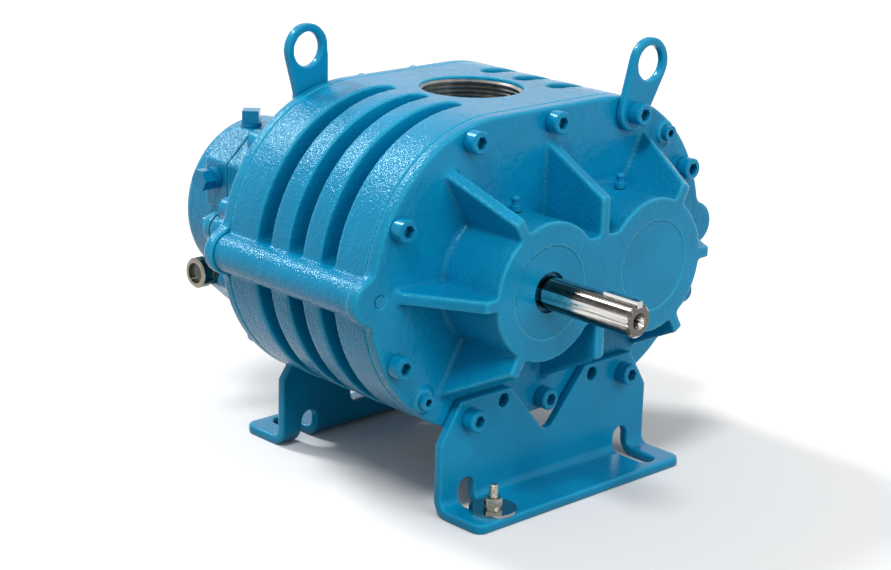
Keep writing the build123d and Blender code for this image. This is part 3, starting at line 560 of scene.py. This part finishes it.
def printFields(look):
    plateLow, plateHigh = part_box("rating_plate")
    middle = (plateLow + plateHigh) / 2
    fields = [(x, z, width, look["rowHeight"]) for z in look["rows"] for x, width in look["columns"]]
    fields += [(0, z, *look["ruleSize"]) for z in look["rules"]]
    fields += [(x, look["panelHeight"], *look["panelSize"]) for x in look["panels"]]
    mesh = bpy.data.meshes.new("rating_fields")
    form = bmesh.new()
    for x, z, width, height in fields:
        place = Vector((middle.x - x * millimetre, plateHigh.y, middle.z + z * millimetre))
        size = Vector((width * millimetre, look["proud"] * 2, height * millimetre))
        bmesh.ops.create_cube(form, size=1, matrix=Matrix.Translation(place) @ Matrix.Diagonal((*size, 1)))
    form.to_mesh(mesh)
    form.free()
    mountOnCasing(addPiece("rating_fields", mesh), fieldInk)


printFields(fieldLook)
print("stage: rating plate marked out")


def seenDirectly(tree):
    # 1 where the eye meets a surface, also in a reflection or through glass
    path = tree.nodes.new("ShaderNodeLightPath")
    either = maths(tree, "MAXIMUM", path.outputs["Is Camera Ray"], path.outputs["Is Glossy Ray"])
    return maths(tree, "MAXIMUM", either, path.outputs["Is Transmission Ray"])


def plainFloor(look):
    mesh = bpy.data.meshes.new("studio_floor")
    form = bmesh.new()
    bmesh.ops.create_grid(form, x_segments=1, y_segments=1, size=look["size"])
    form.to_mesh(mesh)
    form.free()
    material, tree, shader = newFinish("studio_floor")
    tree.links.new(mixColours(tree, seenDirectly(tree), look["bounce"], look["colour"]), shader.inputs["Base Color"])
    shader.inputs["Roughness"].default_value = look["roughness"]
    shader.inputs["Specular IOR Level"].default_value = look["specular"]
    mesh.materials.append(material)
    addPiece("studio_floor", mesh)


floorLook = {
    "size": 12.0, "colour": (0.90, 0.90, 0.90), "bounce": (0.30, 0.30, 0.30), "roughness": 0.9, "specular": 0.1,
}
plainFloor(floorLook)


def studioWorld(look):
    # white where it is seen, and light on the object at its own strength
    world = bpy.data.worlds.new("studio")
    bpy.context.scene.world = world
    world.use_nodes = True
    tree = world.node_tree
    light = tree.nodes["Background"]
    seen = tree.nodes.new("ShaderNodeBackground")
    for backdrop, strength in ((light, look["strength"]), (seen, look["seenStrength"])):
        backdrop.inputs["Color"].default_value = (1, 1, 1, 1)
        backdrop.inputs["Strength"].default_value = strength
    chosen = tree.nodes.new("ShaderNodeMixShader")
    tree.links.new(seenDirectly(tree), chosen.inputs["Fac"])
    tree.links.new(light.outputs["Background"], chosen.inputs[1])
    tree.links.new(seen.outputs["Background"], chosen.inputs[2])
    tree.links.new(chosen.outputs["Shader"], tree.nodes["World Output"].inputs["Surface"])


def towards(azimuth, elevation):
    # unit vector from the pump; azimuth 0 faces the drive end
    around, up = radians(azimuth), radians(elevation)
    return Vector((sin(around) * cos(up), -cos(around) * cos(up), sin(up)))


def softSun(name, look):
    lamp = bpy.data.lights.new(name, "SUN")
    lamp.energy = look["strength"]
    lamp.angle = radians(look["angle"])
    holder = bpy.data.objects.new(name, lamp)
    bpy.context.scene.collection.objects.link(holder)
    holder.rotation_mode = "QUATERNION"
    holder.rotation_quaternion = (-towards(look["azimuth"], look["elevation"])).to_track_quat("-Z", "Y")


lamps = {
    "key_light": {"strength": 1.4, "azimuth": -62, "elevation": 58, "angle": 14},
    "fill_light": {"strength": 1.15, "azimuth": 8, "elevation": 28, "angle": 50},
    "rim_light": {"strength": 1.9, "azimuth": -166, "elevation": 45, "angle": 12},
}
studioWorld({"strength": 0.41, "seenStrength": 1.0})
for lampName, lampLook in lamps.items():
    softSun(lampName, lampLook)

shot = {
    "azimuth": -43.6, "elevation": 17.0, "roll": 1.67, "distance": 1.511, "lens": 86.0,
    "right": -0.0151, "up": -0.0345, "height": 0.1607, "farClip": 100,
}


def placeCamera(look):
    back = towards(look["azimuth"], look["elevation"])
    turned = (-back).to_track_quat("-Z", "Y").to_matrix() @ Matrix.Rotation(radians(look["roll"]), 3, "Z")
    lens = bpy.data.cameras.new("shot")
    lens.lens = look["lens"]
    lens.clip_end = look["farClip"]
    camera = bpy.data.objects.new("shot", lens)
    bpy.context.scene.collection.objects.link(camera)
    aim = Vector((0, casingY, look["height"])) + turned @ Vector((look["right"], look["up"], 0))
    camera.location = aim + back * look["distance"]
    camera.rotation_mode = "QUATERNION"
    camera.rotation_quaternion = turned.to_quaternion()
    bpy.context.scene.camera = camera


placeCamera(shot)
bpy.context.scene.view_settings.view_transform = "Standard"
print("stage: studio ready")
